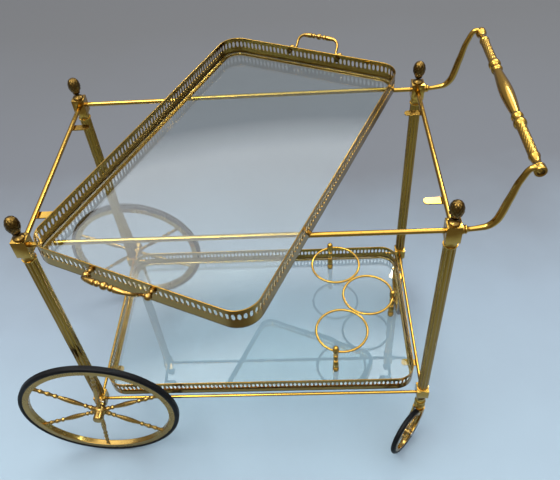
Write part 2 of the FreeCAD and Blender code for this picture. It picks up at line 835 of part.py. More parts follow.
def build_caster(side, sign):
    """Swivel fork with curved arms, its axle pin, and a spoked wheel with a rubber tyre.

    Built with the swivel axis on Z and the wheel trailing along +X, then turned about Z.
    """
    turn = Rotation(Vector(0, 0, 1), SIZES[f"{side}_caster_angle"])
    where = (half_length, half_width * sign, 0)
    trail, radius = cell("caster_trail"), cell("caster_radius")
    offset, thick = cell("fork_arm_offset"), cell("fork_arm_thickness")
    wide = cell("fork_arm_width")
    crown_bottom, crown = cell("fork_crown_bottom"), cell("fork_crown_height")
    pin_radius = cell("caster_axle_diameter") / 2
    stem_name = f"caster_{side}"

    # each arm is a flat strip bent along an arc from the crown down and forward to the axle
    drop = crown_bottom + crown / 2 - radius
    bend = (trail.value ** 2 + drop.value ** 2) / (2 * trail.value)
    arms = []
    for flank in (-1, 1):
        body = new_body(f"{stem_name}_arm_{'near' if flank < 0 else 'far'}")
        sketch = new_sketch(body, body.Name + "_outline", "XZ_Plane")
        top = crown_bottom + crown / 2
        half = wide / 2
        outer_bow = bend * (1 - math.cos(math.asin(drop.value / bend) / 2))
        draw_outline(sketch, [
            (-half, top),
            (half, top, outer_bow * 0.8),
            (trail + 1, radius + half),
            (trail + 1, radius - half, -outer_bow),
        ])
        strip = pad(body, sketch, thick)
        strip.Midplane = True
        arms.append(place(body, 0, offset * flank, 0))
        arms.append(cylinder(body.Name + "_boss", dim(6), thick,
                             trail, offset * flank - thick / 2, radius, axis="Y"))
    stem = cylinder(stem_name + "_stem", cell("fork_stem_diameter") / 2,
                    dim(128) - crown_bottom, z=crown_bottom)
    plate = cylinder(stem_name + "_crown", offset + thick / 2, crown, z=crown_bottom)
    yoke = fuse(stem_name + "_yoke", stem, plate, *arms)
    room = cylinder(stem_name + "_wheel_room", radius + 2, 13, trail, -6.5, radius, axis="Y")
    fork = in_cart(cut(stem_name + "_fork_blank", yoke, room), *where, turn)

    pin_half = offset + thick / 2
    pin = cylinder(stem_name + "_pin", pin_radius, pin_half * 2, trail, -pin_half, radius, axis="Y")
    heads = [cylinder(f"{stem_name}_pin_head_{flank}", 4, 1.5, trail,
                      pin_half * flank, radius, axis="Y" if flank > 0 else "-Y")
             for flank in (-1, 1)]
    axle = in_cart(fuse(stem_name + "_axle", pin, *heads), *where, turn)
    node(stem_name + "_axle", axle)
    node(stem_name + "_fork", cut(stem_name + "_fork", fork, axle))

    section = cell("caster_tyre_section")
    hub_turn = AXIS_TURN["-Y"]
    tyre = place(ring(stem_name + "_tyre_ring", radius - section, section), trail, 0, radius, hub_turn)
    tyre_node = in_cart(group(stem_name + "_tyre", tyre), *where, turn)

    outer, inner = cell("caster_rim_outer"), cell("caster_rim_inner")
    half = cell("caster_rim_width") / 2
    hub_half = cell("caster_hub_width") / 2
    bore = pin_radius + cell("running_gap")
    rim = turned(stem_name + "_rim", [(inner, -half), (outer, -half), (outer, half), (inner, half)])
    hub = turned(stem_name + "_hub", [
        (bore, -hub_half),
        (cell("caster_hub_radius") * 0.7, -hub_half, 1.6),
        (cell("caster_hub_radius") * 0.7, hub_half),
        (bore, hub_half),
    ])
    spokes = turned_spokes(stem_name + "_spokes", SIZES["caster_spoke_count"], [
        (5, 0), (5, 2), (11, 2), (13, 3), (16, 3), (18, 1.8),
        (26, 2.6), (30, 1.8), (33, 2.6), (inner + 2, 2.4), (inner + 2, 0),
    ], 18)
    wheel = fuse(stem_name + "_wheel_blank", rim, hub, spokes)
    place(wheel, trail, 0, radius, hub_turn)
    bored = cut(stem_name + "_wheel_bored", wheel,
                cylinder(stem_name + "_bore", bore, hub_half * 2 + 2, trail, -hub_half - 1, radius,
                         axis="Y"), tyre)
    wheel_node = in_cart(group(stem_name + "_wheel", bored), *where, turn)
    node(stem_name + "_tyre", tyre_node)
    node(stem_name + "_wheel", wheel_node)


# ---------------------------------------------------------------- trays


def build_tray_frame(name, length, width, flange):
    """A gallery strip bent round four corners, with a flange inside its foot for the glass."""
    wall = cell("gallery_wall")
    radius, height = cell("corner_radius"), cell("gallery_height")
    body = new_body(name + "_strip")
    outline = new_sketch(body, name + "_outline", "XY_Plane")
    rounded_rectangle(outline, length, width, radius)
    pad(body, outline, height)
    window = new_sketch(body, name + "_window", "XY_Plane")
    rounded_rectangle(window, length - flange * 2, width - flange * 2, radius - flange)
    pocket(body, window, wall * 2, True, "Window")
    inside = new_sketch(body, name + "_inside", "XY_Plane")
    inside.AttachmentOffset = FreeCAD.Placement(Vector(0, 0, SIZES["gallery_wall"]), Rotation())
    inside.setExpression("AttachmentOffset.Base.z", wall.text)
    rounded_rectangle(inside, length - wall * 2, width - wall * 2, radius - wall)
    pocket(body, inside, height, True, "Inside")
    return body


def build_glass(name, length, width):
    """A sheet of glass with round corners that lies on the flange."""
    inset = cell("gallery_wall") + cell("glass_gap")
    body = new_body(name + "_sheet")
    outline = new_sketch(body, name + "_outline", "XY_Plane")
    rounded_rectangle(outline, length - inset * 2, width - inset * 2, cell("corner_radius") - inset)
    pad(body, outline, cell("glass_thickness"))
    return body


BEADS = (
    # turned beads of a tray handle's grip: start from its middle, length, height
    (-24.0, 8.5, 1.8),
    (-13.7, 6.0, 2.0),
    (-4.5, 9.0, 3.4),
    (7.7, 6.0, 2.0),
    (15.5, 8.5, 1.8),
)


def handle_pieces(stem):
    """A bail handle standing off a wall along +X, with its two screws.

    The wall's outer face is the plane x = 0, and the feet are level with z = 0.
    """
    span, reach, corner = cell("handle_bail_half"), cell("handle_reach"), cell("handle_corner")
    elbow, stand_off = cell("handle_elbow"), cell("handle_stand_off")
    wire = cell("handle_radius")
    grip_length = (span - corner) * 2
    outline = [(0, 0), (wire, 0)]
    for start, length, bow in BEADS:
        outline.append((wire, grip_length / 2 + start, bow))
        outline.append((wire, grip_length / 2 + (start + length)))
    outline += [(wire, grip_length), (0, grip_length)]
    grip = turned(stem + "_grip", outline)
    bail = [place(grip, reach, corner - span, 0, AXIS_TURN["Y"])]
    for flank in (-1, 1):
        letter = "a" if flank < 0 else "b"
        bail.append(cylinder(f"{stem}_side_{letter}", wire, reach - corner - elbow, elbow,
                             span * flank, 0, axis="X"))
        toe = ring(f"{stem}_elbow_{letter}", elbow, wire)
        toe.Angle3 = 90
        place(toe, elbow, (span + elbow) * flank, 0,
              Rotation(Vector(0, 0, 1), 90 if flank < 0 else 180))
        bail.append(toe)
        bend = ring(f"{stem}_bend_{letter}", corner, wire)
        bend.Angle3 = 90
        place(bend, reach - corner, (span - corner) * flank, 0,
              Rotation(Vector(0, 0, 1), -90 if flank < 0 else 0))
        bail.append(bend)
    tilt = Rotation(Vector(0, 1, 0), -SIZES["handle_tilt"])
    pieces = [place(fuse(stem + "_bail", *bail), stand_off, 0, 0, tilt)]
    screws = []
    for flank in (-1, 1):
        y = cell("handle_half_span") * flank
        letter = "a" if flank < 0 else "b"
        foot = turned(f"{stem}_foot_{letter}", [
            (0, 0), (4.8, 0), (4.8, 2.5), (3.2, 4), (3.2, 7.5), (4.9, 9.5), (5.5, 12), (4.9, 14.5),
            (3.2, 16.5), (0, 17.5),
        ])
        pieces.append(place(foot, 0, y, 0, AXIS_TURN["X"]))
        shank = cylinder(f"{stem}_shank_{letter}", 1.5, 9, -4, y, 0, axis="X")
        head = cylinder(f"{stem}_head_{letter}", 5, 2.6, dim(-2.6) - cell("gallery_wall"), y, 0,
                        axis="X")
        screws.append(fuse(f"{stem}_screw_{letter}", shank, head))
    return pieces, screws


def build_upper_tray():
    """The lift-off tray.  It lies on the top rails, turned, and carries two bail handles."""
    length, width = cell("upper_tray_length"), cell("upper_tray_width")
    turn = Rotation(Vector(0, 0, 1), SIZES["upper_tray_angle"])
    rails_top = cell("top_rail_height") + cell("top_rail_diameter") / 2
    bottom = rails_top + cell("rest_gap")
    where = (cell("upper_tray_x"), cell("upper_tray_y"), bottom)

    blank = build_tray_frame("upper_tray", length, width, cell("upper_flange_width"))
    holes, all_screws = [], []
    for end, sign in ENDS.items():
        stem = f"tray_handle_{end}"
        pieces, screws = handle_pieces(stem)
        half_turn = Rotation(Vector(0, 0, 1), 0 if sign > 0 else 180)
        spot = (length / 2 * sign, cell(f"{end}_handle_offset") * -sign, cell("handle_screw_height"))
        set_screws = [place(group(screw.Name + "_set", screw), *spot, half_turn) for screw in screws]
        body = place(fuse(stem + "_blank", *pieces), *spot, half_turn)
        bored = cut(stem + "_bored", body, *set_screws)
        node(stem, in_cart(group(stem, bored), *where, turn))
        holes += set_screws
        all_screws += [in_cart(group(screw.Name + "_home", screw), *where, turn)
                       for screw in set_screws]
    pierced = cut("upper_tray_pierced", blank, *holes)
    node("upper_tray_frame", in_cart(group("upper_tray_frame", pierced), *where, turn))
    node("tray_handle_screws", group("tray_handle_screws", *all_screws))

    glass = build_glass("upper_tray_glass", length, width)
    in_cart(glass, where[0], where[1], bottom + cell("gallery_wall"), turn)
    node("upper_tray_glass", glass)


BOTTLE_SPOTS = {
    # ring centre, then the foot of its post, from the middle of the leg rectangle
    "rear": ((159.2, 93.0), (149.5, 142.05)),
    "middle": ((221.0, 8.11), (270.8, 3.6)),
    "front": ((163.2, -79.56), (149.2, -127.56)),
}


def build_lower_tray():
    """The fixed-looking lower tray, which lies on the bottom tabs, and its bottle holder."""
    length, width = cell("lower_tray_length"), cell("lower_tray_width")
    tab_top = cell("low_rail_height") - cell("low_rail_diameter") / 2 + cell("tab_groove")
    bottom = tab_top + cell("rest_gap")
    glass_bottom = bottom + cell("gallery_wall")
    glass_top = glass_bottom + cell("glass_thickness")
    frame = build_tray_frame("lower_tray", length, width, cell("lower_flange_width"))
    node("lower_tray_frame", in_cart(frame, 0, 0, bottom))

    rings, posts, screws = [], [], []
    wire, radius = cell("ring_wire"), cell("post_radius")
    height = cell("post_height")
    for name, (centre, foot) in BOTTLE_SPOTS.items():
        loop = ring(f"bottle_ring_{name}", cell("ring_radius"), wire)
        in_cart(loop, dim(centre[0]), dim(centre[1]), cell("ring_height"))
        node(f"bottle_ring_{name}", loop)
        rings.append(loop)
        shank = cylinder(f"post_screw_{name}_shank", 2, 20)
        head = cylinder(f"post_screw_{name}_head", 5, 1.4, z=-1.4)
        screw = in_cart(fuse(f"post_screw_{name}", shank, head),
                        dim(foot[0]), dim(foot[1]), glass_bottom)
        screws.append(screw)
        post = turned(f"bottle_post_{name}_turning", [
            (0, 0),
            (radius, 0),
            (radius, height * 0.05),
            (radius * 0.8, height * 0.08, 0.8),
            (radius * 0.8, height * 0.2),
            (radius * 0.55, height * 0.26),
            (radius * 0.7, height * 0.3, 1.4),
            (radius * 0.7, height * 0.46),
            (radius * 0.5, height * 0.5),
            (radius * 0.75, height * 0.56, 0.5),
            (radius * 0.75, height * 0.62),
            (radius * 0.6, height * 0.66),
            (radius * 0.85, height * 0.74),
            (radius, height * 0.86),
            (radius * 0.88, height * 0.92),
            (radius * 0.55, height * 0.98),
            (0, height),
        ])
        in_cart(post, dim(foot[0]), dim(foot[1]), glass_top)
        posts.append(cut(f"bottle_post_{name}", post, loop, screw))
    node("bottle_posts", group("bottle_posts", *posts))
    node("bottle_post_screws", group("bottle_post_screws", *screws))

    glass = build_glass("lower_tray_glass", length, width)
    in_cart(glass, 0, 0, glass_bottom)
    node("lower_tray_glass", cut("lower_tray_glass", glass, *screws))


# ---------------------------------------------------------------- assembly

axle_bolts = build_axle_bolts()
caster_sockets = build_caster_sockets()
build_rails()
build_tabs()
rods = build_tie_rods()
build_push_handle()
build_blocks(rods)
build_finials(rods)
for corner_name, (along_sign, across_sign) in CORNERS.items():
    leg = build_leg(f"leg_{corner_name}")
    in_cart(leg, half_length * along_sign, half_width * across_sign, cell("leg_bottom"))
    node(f"leg_{corner_name}", leg)
for side_name, side_sign in SIDES.items():
    build_big_wheel(side_name, side_sign)
    build_caster(side_name, side_sign)
build_upper_tray()
build_lower_tray()

doc.recompute()


def check():
    """Stop on any failed object or broken sub-part."""
    for thing in doc.Objects:
        if "Invalid" in thing.State or "Error" in thing.State:
            raise RuntimeError(f"{thing.Label} failed: {thing.State}")
    for name, thing in nodes.items():
        if thing.Shape.isNull() or not thing.Shape.isValid() or not thing.Shape.Solids:
            raise RuntimeError(f"{name} has no valid solid")
    if len(nodes) > 60:
        raise RuntimeError(f"{len(nodes)} sub-parts are too many")


check()
os.makedirs("parts", exist_ok=True)
for node_name, part in nodes.items():
    part.Shape.exportStep(f"parts/{node_name}.step")

low = Vector(1e9, 1e9, 1e9)
high = Vector(-1e9, -1e9, -1e9)
for part in nodes.values():
    bounds = part.Shape.optimalBoundingBox(True, False)
    low = Vector(min(low.x, bounds.XMin), min(low.y, bounds.YMin), min(low.z, bounds.ZMin))
    high = Vector(max(high.x, bounds.XMax), max(high.y, bounds.YMax), max(high.z, bounds.ZMax))
print(f"{len(nodes)} sub-parts from {low} to {high}")
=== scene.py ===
import math

import bmesh
import bpy
from mathutils import Matrix, Vector


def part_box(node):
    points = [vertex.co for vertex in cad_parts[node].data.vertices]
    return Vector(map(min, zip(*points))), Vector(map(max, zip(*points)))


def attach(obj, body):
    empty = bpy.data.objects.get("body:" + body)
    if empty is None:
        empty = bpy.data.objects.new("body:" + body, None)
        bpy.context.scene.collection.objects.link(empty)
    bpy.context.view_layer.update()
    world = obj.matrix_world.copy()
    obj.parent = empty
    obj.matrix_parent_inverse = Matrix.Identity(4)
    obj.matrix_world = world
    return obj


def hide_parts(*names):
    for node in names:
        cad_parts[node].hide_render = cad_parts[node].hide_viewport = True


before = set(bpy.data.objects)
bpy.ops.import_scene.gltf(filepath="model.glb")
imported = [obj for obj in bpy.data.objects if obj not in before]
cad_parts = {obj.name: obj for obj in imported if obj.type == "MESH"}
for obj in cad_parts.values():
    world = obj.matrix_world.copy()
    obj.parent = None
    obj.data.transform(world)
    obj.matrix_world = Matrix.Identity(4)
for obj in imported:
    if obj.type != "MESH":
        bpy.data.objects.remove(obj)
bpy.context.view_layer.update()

# Two-tier brass serving cart.  Meshes are laid out in millimetres in the part's own frame
# (+X towards the push handle, -Y the near long side, +Z up) and scaled to metres when built.

MM = 0.001
TURN = 2 * math.pi

SHIFT = Vector((23, 7, 0))                 # middle of the leg rectangle
HALF_LENGTH, HALF_WIDTH = 310, 180         # from that middle to the legs
HALF_BLOCK = 11
BLOCK_TOP = 602.5
ARM_HEIGHT = 589
BAR_LENGTH = 351
CORNERS = {"front_left": (-1, -1), "front_right": (-1, 1),
           "rear_left": (1, -1), "rear_right": (1, 1)}
UPPER_LENGTH, UPPER_WIDTH = 604, 350
LOWER_LENGTH, LOWER_WIDTH = 596, 343
UPPER_ANGLE = 66
UPPER_CENTRE = Vector((-3, -7, 592.3)) + SHIFT
LOWER_CENTRE = Vector((0, 0, 150.2)) + SHIFT
HANDLE_HEIGHT = 25.5                       # of the bail handles above the foot of the tray
LOWER_GLASS_TOP = 155.4


# ---------------------------------------------------------------- materials


def new_material(name):
    material = bpy.data.materials.new(name)
    material.use_nodes = True
    tree = material.node_tree
    tree.nodes.clear()
    out = tree.nodes.new("ShaderNodeOutputMaterial")
    shader = tree.nodes.new("ShaderNodeBsdfPrincipled")
    tree.links.new(shader.outputs[0], out.inputs[0])
    return material, tree, shader, out


def node(tree, kind, **settings):
    made = tree.nodes.new("ShaderNode" + kind)
    for key, value in settings.items():
        if key in made.inputs:
            made.inputs[key].default_value = value
        else:
            setattr(made, key, value)
    return made


def noise(tree, coord, scale, detail=4.0, rough=0.55, stretch=(1, 1, 1)):
    mapping = node(tree, "Mapping")
    mapping.inputs["Scale"].default_value = stretch
    tree.links.new(coord, mapping.inputs["Vector"])
    made = node(tree, "TexNoise", Scale=scale, Detail=detail, Roughness=rough)
    tree.links.new(mapping.outputs[0], made.inputs["Vector"])
    return made.outputs["Fac"]


def ramp(tree, factor, stops):
    made = node(tree, "ValToRGB")
    elements = made.color_ramp.elements
    while len(elements) < len(stops):
        elements.new(0.5)
    for element, (position, value) in zip(elements, stops):
        element.position = position
        if not isinstance(value, tuple):
            value = (value, value, value)
        element.color = (*value, 1)
    tree.links.new(factor, made.inputs[0])
    return made.outputs[0]


def math_node(tree, operation, first, second):
    made = node(tree, "Math", operation=operation)
    for index, value in enumerate((first, second)):
        if isinstance(value, (int, float)):
            made.inputs[index].default_value = value
        else:
            tree.links.new(value, made.inputs[index])
    return made.outputs[0]


def bump(tree, height, distance, strength, shader, base=None):
    made = node(tree, "Bump", Strength=strength, Distance=distance)
    tree.links.new(height, made.inputs["Height"])
    if base is not None:
        tree.links.new(base, made.inputs["Normal"])
    tree.links.new(made.outputs[0], shader.inputs["Normal"])
    return made.outputs[0]


def brass(name, bright, dark, rough=(0.10, 0.24), tarnish=0.35, stretch=(1, 1, 1)):
    """Lacquered brass: an even gold with faint clouds, brown specks and fine scratches."""
    material, tree, shader, _ = new_material(name)
    coord = node(tree, "TexCoord").outputs["Object"]
    clouds = noise(tree, coord, 26, 4, 0.55, stretch)
    specks = noise(tree, coord, 260, 3, 0.65)
    soft = tuple(b * 0.84 + d * 0.16 for b, d in zip(bright, dark))
    tint = ramp(tree, clouds, [(0.32, soft), (0.6, bright)])
    stain = ramp(tree, specks, [(0.30, tarnish), (0.42, 0.0)])
    mix = node(tree, "Mix", data_type="RGBA")
    tree.links.new(stain, mix.inputs[0])
    first, second = (socket for socket in mix.inputs if socket.type == "RGBA")
    tree.links.new(tint, first)
    second.default_value = (*dark, 1)
    colour = next(socket for socket in mix.outputs if socket.type == "RGBA")
    tree.links.new(colour, shader.inputs["Base Color"])
    shader.inputs["Metallic"].default_value = 1
    scratch = noise(tree, coord, 420, 2, 0.7, (1, 1, 0.12))
    wear = math_node(tree, "ADD", math_node(tree, "MULTIPLY", clouds, 0.7),
                     math_node(tree, "MULTIPLY", scratch, 0.3))
    tree.links.new(ramp(tree, wear, [(0.36, rough[1]), (0.6, rough[0])]),
                   shader.inputs["Roughness"])
    bump(tree, scratch, 0.00005, 0.25, shader)
    return material


def rubber(name):
    material, tree, shader, _ = new_material(name)
    coord = node(tree, "TexCoord").outputs["Object"]
    dust = noise(tree, coord, 60, 6, 0.65)
    grain = noise(tree, coord, 900, 2, 0.6)
    colour = ramp(tree, dust, [(0.35, (0.0015, 0.0015, 0.002)), (0.65, (0.003, 0.003, 0.0035)),
                               (0.85, (0.010, 0.010, 0.010))])
    tree.links.new(colour, shader.inputs["Base Color"])
    tree.links.new(ramp(tree, dust, [(0.3, 0.4), (0.75, 0.6)]), shader.inputs["Roughness"])
    shader.inputs["Specular IOR Level"].default_value = 0.12
    bump(tree, grain, 0.0002, 0.4, shader)
    return material


def glass(name, tint):
    """Clear float glass: it bends and mirrors, and lets the lamps' light through."""
    material, tree, shader, out = new_material(name)
    coord = node(tree, "TexCoord").outputs["Object"]
    shader.inputs["Transmission Weight"].default_value = 1
    shader.inputs["IOR"].default_value = 1.5
    shader.inputs["Roughness"].default_value = 0
    smears = noise(tree, coord, 7, 3, 0.6, (1, 2.2, 1))
    tree.links.new(ramp(tree, smears, [(0.3, tuple(0.97 * c for c in tint)), (0.7, tint)]),
                   shader.inputs["Base Color"])
    path = node(tree, "LightPath")
    clear = node(tree, "BsdfTransparent", Color=(*(0.5 + 0.5 * c for c in tint), 1))
    mix = node(tree, "MixShader")
    tree.links.new(path.outputs["Is Shadow Ray"], mix.inputs[0])
    tree.links.new(shader.outputs[0], mix.inputs[1])
    tree.links.new(clear.outputs[0], mix.inputs[2])
    tree.links.new(mix.outputs[0], out.inputs[0])
    return material


def floor_material():
    """A pale floor with painted light: a painted shadow off the near edge, out of view, which the
    brass mirrors, and painted falloff that leaves it darker and greyer away from the cart.
    """
    material, tree, shader, _ = new_material("floor_painted_falloff")
    coord = node(tree, "TexCoord").outputs["Object"]
    split = node(tree, "SeparateXYZ")
    tree.links.new(coord, split.inputs[0])
    soft = noise(tree, coord, 1.6, 4, 0.55)
    falloff_position = math_node(tree, "ADD", split.outputs[1],
                     math_node(tree, "MULTIPLY", soft, 0.5))
    place = node(tree, "MapRange")
    place.inputs["From Min"].default_value = -1.0
    place.inputs["From Max"].default_value = 2.0
    tree.links.new(falloff_position, place.inputs["Value"])
    # painted shade: dark off the near edge where the brass mirrors it, brightest just in front of the
    # cart, then darker and greyer further off
    colour = ramp(tree, place.outputs[0], [
        (0.15, (0.080, 0.078, 0.076)), (0.27, (0.20, 0.26, 0.31)), (0.455, (0.158, 0.197, 0.24)),
        (0.647, (0.087, 0.093, 0.106)), (0.967, (0.076, 0.078, 0.083))])
    tree.links.new(colour, shader.inputs["Base Color"])
    shader.inputs["Roughness"].default_value = 0.85
    shader.inputs["Specular IOR Level"].default_value = 0.15
    bump(tree, noise(tree, coord, 30, 6, 0.6), 0.002, 0.08, shader)
    return material


BRASS = brass("brass_polished", (0.42, 0.255, 0.048), (0.12, 0.065, 0.014))
BRASS_LEG = brass("brass_leg", (0.28, 0.165, 0.026), (0.10, 0.052, 0.012), (0.14, 0.28), 0.45,
                  (1, 1, 0.3))
BRASS_STRIP = brass("brass_strip", (0.27, 0.165, 0.034), (0.09, 0.05, 0.012), (0.12, 0.26))
BRASS_CAST = brass("brass_cast", (0.33, 0.20, 0.05), (0.06, 0.03, 0.008), (0.18, 0.32), 0.7)
BRASS_WHEEL = brass("brass_wheel", (0.34, 0.215, 0.06), (0.08, 0.045, 0.014), (0.16, 0.32), 0.6)
BRASS_DARK = brass("brass_dark", (0.12, 0.072, 0.018), (0.02, 0.012, 0.005), (0.16, 0.36), 0.9)
STEEL = brass("steel_plain", (0.36, 0.34, 0.31), (0.10, 0.09, 0.08), (0.2, 0.36))
RUBBER = rubber("tyre_rubber")
GLASS = glass("glass_clear", (0.71, 0.79, 0.805))


# ---------------------------------------------------------------- mesh building


class Shape:
    """Points in millimetres and faces, built up piece by piece into one mesh."""

    def __init__(self):
        self.points, self.faces = [], []

    def add(self, points):
        first = len(self.points)
        self.points += [Vector(p) for p in points]
        return list(range(first, len(self.points)))

    def skin(self, rows, close_rows=False, close_columns=True, caps=False):
        """Join rows of point numbers by quads; rows run round the section."""
        count = len(rows[0])
        pairs = list(zip(rows, rows[1:]))
        if close_rows:
            pairs.append((rows[-1], rows[0]))
        for low, high in pairs:
            for i in range(count if close_columns else count - 1):
                j = (i + 1) % count
                self.faces.append((low[i], low[j], high[j], high[i]))
        if caps:
            self.faces.append(tuple(reversed(rows[0])))
            self.faces.append(tuple(rows[-1]))

    def lathe(self, outline, place, steps=48, shape=None):
        """Turn (radius, height) points about the local Z axis of the matrix `place`."""
        rows = []
        for radius, height in outline:
            ring = []
            for k in range(steps):
                angle = TURN * k / steps
                reach = radius + (shape(radius, height, angle) if shape else 0)
                ring.append(place @ Vector((reach * math.cos(angle), reach * math.sin(angle),
                                            height)))
            rows.append(self.add(ring))
        self.skin(rows, caps=True)

    def tube(self, centres, radii, steps=24, closed=False, flat=1.0, side=None):
        """A round tube along 3-D points, with a radius at each; `flat` squeezes it along side."""
        count = len(centres)
        tangents = []
        for i in range(count):
            before = centres[i - 1] if closed or i else centres[0]
            after = centres[(i + 1) % count] if closed or i < count - 1 else centres[-1]
            tangents.append((after - before).normalized())
        across = side.copy() if side else tangents[0].orthogonal()
        rows = []
        for centre, tangent, radius in zip(centres, tangents, radii):
            across = (across - tangent * across.dot(tangent)).normalized()
            up = tangent.cross(across)
            rows.append(self.add([
                centre + across * (radius * flat * math.cos(TURN * k / steps))
                + up * (radius * math.sin(TURN * k / steps)) for k in range(steps)]))
        self.skin(rows, close_rows=closed, caps=not closed)

    def build(self, name, material, body, replaces=(), sharp=32):
        mesh = bpy.data.meshes.new(name)
        mesh.from_pydata([p * MM for p in self.points], [], self.faces)
        tidy = bmesh.new()
        tidy.from_mesh(mesh)
        bmesh.ops.remove_doubles(tidy, verts=tidy.verts, dist=0.000004)
        bmesh.ops.recalc_face_normals(tidy, faces=tidy.faces)
        tidy.to_mesh(mesh)
        tidy.free()
        mesh.shade_smooth()
        mesh.set_sharp_from_angle(angle=math.radians(sharp))
        piece = bpy.data.objects.new(name, mesh)
        bpy.context.scene.collection.objects.link(piece)
        mesh.materials.append(material)
        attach(piece, body)
        if replaces:
            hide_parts(*replaces)
        return piece


def bead(start, end, foot, peak, steps=8):
    """Outline of a turned bead: a half ellipse standing on radius `foot`."""
    middle, half = (start + end) / 2, (end - start) / 2
    return [(foot + (peak - foot) * math.sin(math.pi * k / steps),
             middle - half * math.cos(math.pi * k / steps)) for k in range(steps + 1)]


def smooth(points, steps=4):
    """A Catmull-Rom curve through points of any size."""
    made = []
    count = len(points)
    for i in range(count - 1):
        p0 = points[max(i - 1, 0)]
        p1, p2 = points[i], points[i + 1]
        p3 = points[min(i + 2, count - 1)]
        for k in range(steps):
            t = k / steps
            made.append(tuple(
                0.5 * (2 * b + (c - a) * t + (2 * a - 5 * b + 4 * c - d) * t * t
                       + (3 * b - a - 3 * c + d) * t ** 3)
                for a, b, c, d in zip(p0, p1, p2, p3)))
    made.append(tuple(points[-1]))
    return made


def at(x, y, z, turn=None):
    """The matrix that puts a local origin at a point of the cart."""
    return Matrix.Translation(Vector((x, y, z))) @ (turn or Matrix.Identity(4))


def spin(angle, axis):
    return Matrix.Rotation(math.radians(angle), 4, axis)


# ---------------------------------------------------------------- pierced tray galleries


def rounded_path(length, width, radius):
    """A function from distance along a rounded rectangle to its point and outward normal."""
    straight = (length - 2 * radius, width - 2 * radius)
    arc = math.pi * radius / 2
    runs = []
    corner_centres = [(1, -1), (1, 1), (-1, 1), (-1, -1)]
    starts = [(-1, -1), (1, -1), (1, 1), (-1, 1)]
    for k in range(4):
        runs.append(("line", straight[k % 2], k))
        runs.append(("arc", arc, k))
    total = sum(run[1] for run in runs)

    def where(distance, outset=0.0):
        distance %= total
        for kind, size, k in runs:
            if distance <= size:
                break
            distance -= size
        along = Vector((math.cos(k * math.pi / 2), math.sin(k * math.pi / 2)))
        normal = Vector((along.y, -along.x))
        if kind == "line":
            cx, cy = starts[k]
            base = Vector((cx * (length / 2 - radius), cy * (width / 2 - radius)))
            return base + along * distance + normal * (radius + outset)
        cx, cy = corner_centres[k]
        base = Vector((cx * (length / 2 - radius), cy * (width / 2 - radius)))
        angle = k * math.pi / 2 - math.pi / 2 + distance / radius
        return base + Vector((math.cos(angle), math.sin(angle))) * (radius + outset)

    return where, total


def gallery(name, length, width, flange_width, place, body, cad_node):
    """A strip pierced by a row of upright ovals, with a rolled lip and a flange for the glass."""
    radius, wall = 35.0, 1.2
    where, total = rounded_path(length, width, radius)
    count = round(total / 8.0)
    pitch = total / count
    half_hole, tall_hole, hole_z = 2.6, 6.1, 21.6
    foot, low, high, brim = 0.6, 14.2, 29.0, 33.2
    lip_radius, lip_z = 0.95, 34.05
    shape = Shape()

    def put(distance, z, depth):
        point = where(distance, -depth)
        return place @ Vector((point.x, point.y, z))

    # points round the edge of one cell, which holds one opening
    across = (-0.5, -0.25, 0, 0.25, 0.5)
    upright = (0.25, 0.5, 0.75)
    border = [(x, 0) for x in across] + [(0.5, z) for z in upright]
    border += [(x, 1) for x in reversed(across)] + [(-0.5, z) for z in reversed(upright)]
    for cell in range(count):
        middle = (cell + 0.5) * pitch
        layers = []
        for depth in (0.0, wall):
            outer = shape.add([put(middle + x * pitch, low + z * (high - low), depth)
                               for x, z in border])
            hole = []
            for x, z in border:
                angle = math.atan2((z - 0.5) * 2, x * 2)
                hole.append(put(middle + half_hole * math.cos(angle),
                                hole_z + tall_hole * math.sin(angle), depth))
            hole = shape.add(hole)
            shape.skin([outer, hole] if depth == 0 else [hole, outer])
            layers.append(hole)
        shape.skin([layers[0], layers[1]])
        for rows in ((foot, 5.0, low), (high, brim)):
            for z0, z1 in zip(rows, rows[1:]):
                for depth in (0.0, wall):
                    for x0, x1 in zip(across, across[1:]):
                        quad = shape.add([
                            put(middle + x0 * pitch, z0, depth),
                            put(middle + x1 * pitch, z0, depth),
                            put(middle + x1 * pitch, z1, depth),
                            put(middle + x0 * pitch, z1, depth)])
                        shape.faces.append(tuple(quad if depth == 0 else reversed(quad)))
    steps = count * 4
    lip = [(wall / 2 + lip_radius * math.cos(a), lip_z + lip_radius * math.sin(a))
           for a in (TURN * k / 10 for k in range(10))]
    flange = [(0.0, 0.6), (0.25, 0.2), (0.7, 0.0), (flange_width - 0.4, 0.0),
              (flange_width, 0.3), (flange_width, 0.6), (flange_width - 0.3, 0.9),
              (2.0, 0.9), (1.4, 1.2), (1.2, 2.2), (0.6, 2.2), (0.0, 2.2)]
    for section in (lip, flange):
        rows = [shape.add([put(k * total / steps, z, depth) for depth, z in section])
                for k in range(steps)]
        shape.skin(rows, close_rows=True)
    return shape.build(name, BRASS_STRIP, body, [cad_node], sharp=40)


gallery("upper_gallery", UPPER_LENGTH, UPPER_WIDTH, 10,
        at(*UPPER_CENTRE, spin(UPPER_ANGLE, "Z")), "upper_tray", "upper_tray_frame")
gallery("lower_gallery", LOWER_LENGTH, LOWER_WIDTH, 6,
        at(*LOWER_CENTRE), "lower_tray", "lower_tray_frame")


# ---------------------------------------------------------------- tray handles


def handle_thickness(run):
    """Radius of the bail, by distance along it from the middle of the grip."""
    waist, wire, swell = 2.7, 2.5, 2.2
    swell_start, swell_peak, swell_length = 14.4, 16, 14
    for centre, half_width, peak in ((0, 4.6, 5.6), (10.6, 3.2, 4.7)):
        if abs(run - centre) < half_width:
            return waist + (peak - waist) * math.sqrt(1 - ((run - centre) / half_width) ** 2)
    if run < swell_start:
        return waist
    shoulder = min(1, (run - swell_start) / (swell_peak - swell_start))
    taper = math.exp(-(max(0, run - swell_peak) / swell_length) ** 2)
    return wire + swell * math.sqrt(1 - (1 - shoulder) ** 2) * taper


